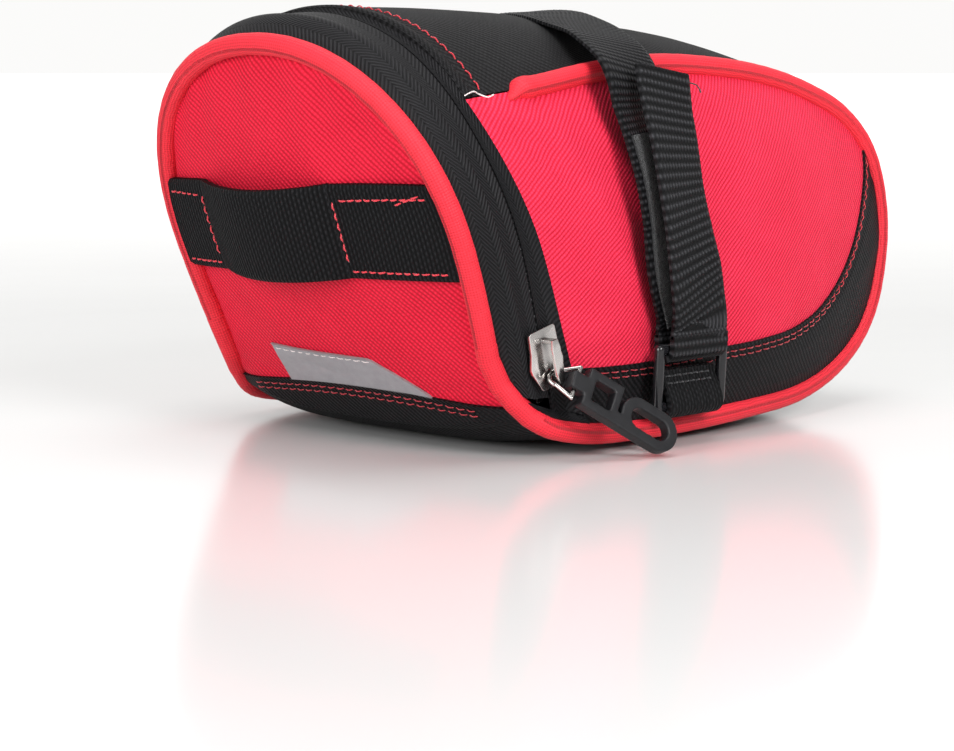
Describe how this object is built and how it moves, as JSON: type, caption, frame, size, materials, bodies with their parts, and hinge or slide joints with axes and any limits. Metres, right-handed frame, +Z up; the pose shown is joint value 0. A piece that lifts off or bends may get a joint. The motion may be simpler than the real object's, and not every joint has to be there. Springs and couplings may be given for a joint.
{
  "type": "saddle bag",
  "caption": "Wedge-shaped padded bag that hangs under a bicycle saddle, with an arched zipped rear door, piped seams, a light loop and a hook-and-loop strap.",
  "frame": {"origin": "middle of the flat base, on the plane that the bag stands on", "axes": "+X to the bag's right, +Y from the rear door towards the nose, +Z up from the base"},
  "size_m": [0.1315, 0.1839, 0.1034],
  "materials": {
    "red_cloth": "woven red nylon with a fine diagonal pattern",
    "red_piping": "red binding cloth, tight round its cord",
    "red_thread": "red sewing thread",
    "black_cloth": "black woven nylon, satin",
    "ribbed_cloth": "black ribbed cloth, matt",
    "zip_tape": "black woven zip tape, satin",
    "webbing": "black woven webbing, satin",
    "hook_and_loop": "black hook and loop tape",
    "cord": "white filler cord",
    "foam": "closed-cell foam, matt",
    "lining": "grey lining cloth",
    "board": "stiff plastic sheet",
    "zip_coil": "black nylon coil",
    "nickel": "nickel-plated, bright",
    "black_plastic": "black moulded plastic, matt",
    "ring_plastic": "black, glossy",
    "reflective": "silver-grey reflective tape"
  },
  "bodies": {
    "bag": {"side_panel_right": "red_cloth", "side_panel_left": "red_cloth", "side_lower_right": "black_cloth", "side_lower_left": "black_cloth", "top_panel": "ribbed_cloth", "bottom_panel": "ribbed_cloth", "side_foam_right": "foam", "side_foam_left": "foam", "top_foam": "foam", "base_board": "board", "side_lining_right": "lining", "side_lining_left": "lining", "top_lining": "lining", "base_lining": "lining", "piping_right": "red_piping", "piping_left": "red_piping", "piping_cord_right": "cord", "piping_cord_left": "cord", "gusset_end_right": "zip_tape", "gusset_end_left": "zip_tape", "zip_tape_body": "zip_tape", "zip_coil_body": "zip_coil", "zip_stops": "nickel", "gusset_lip": "zip_tape", "top_stitching": "red_thread", "side_stitching_right": "red_thread", "side_stitching_left": "red_thread", "strap_band": "webbing", "loop_tape": "hook_and_loop", "strap_anchor": "webbing", "ring_tab": "webbing"},
    "door": {"rear_panel": "red_cloth", "rear_lower_panel": "black_cloth", "rear_foam": "foam", "rear_lining": "lining", "rear_piping": "red_piping", "rear_piping_cord": "cord", "door_fold": "black_cloth", "zip_tape_door": "zip_tape", "zip_coil_door": "zip_coil", "light_loop": "webbing", "loop_stitching": "red_thread", "reflective_patch": "reflective", "rear_stitching": "red_thread"},
    "slider": {"zip_slider": "nickel"},
    "ring": {"pull_ring": "nickel"},
    "pull": {"zip_pull": "black_plastic"},
    "strap_ring": {"strap_ring": "ring_plastic", "strap_fold": "webbing"},
    "strap_tail": {"strap_tail": "webbing", "hook_tape": "hook_and_loop"}
  },
  "joints": [
    {"name": "door_hinge", "type": "hinge", "parent": "bag", "child": "door", "pos_m": [0, -0.0442, 0.0052], "axis": [1, 0, 0], "range_deg": [0, 60], "deforming": ["door_fold"]},
    {"name": "slider_travel", "type": "slide", "parent": "bag", "child": "slider", "axis": [0, -0.2562, 0.9666], "range_m": [0, 0.012]},
    {"name": "pull_ring_pivot", "type": "hinge", "parent": "slider", "child": "ring", "pos_m": [0.05361, -0.04147, 0.01942], "axis": [0.1986, -0.6062, -0.7701], "range_deg": [-6, 18]},
    {"name": "pull_pivot", "type": "hinge", "parent": "ring", "child": "pull", "pos_m": [0.0584, -0.03801, 0.01794], "axis": [0.1986, -0.6062, -0.7701], "range_deg": [-10, 100]},
    {"name": "strap_ring_pivot", "type": "hinge", "parent": "bag", "child": "strap_ring", "pos_m": [0.0602, -0.0008, 0.0098], "axis": [0, 1, 0], "range_deg": [0, 15]},
    {"name": "tail_peel", "type": "hinge", "parent": "strap_ring", "child": "strap_tail", "pos_m": [0.06091, -0.0008, 0.02328], "axis": [0, 1, 0], "range_deg": [0, 95], "deforming": ["strap_fold"]}
  ]
}
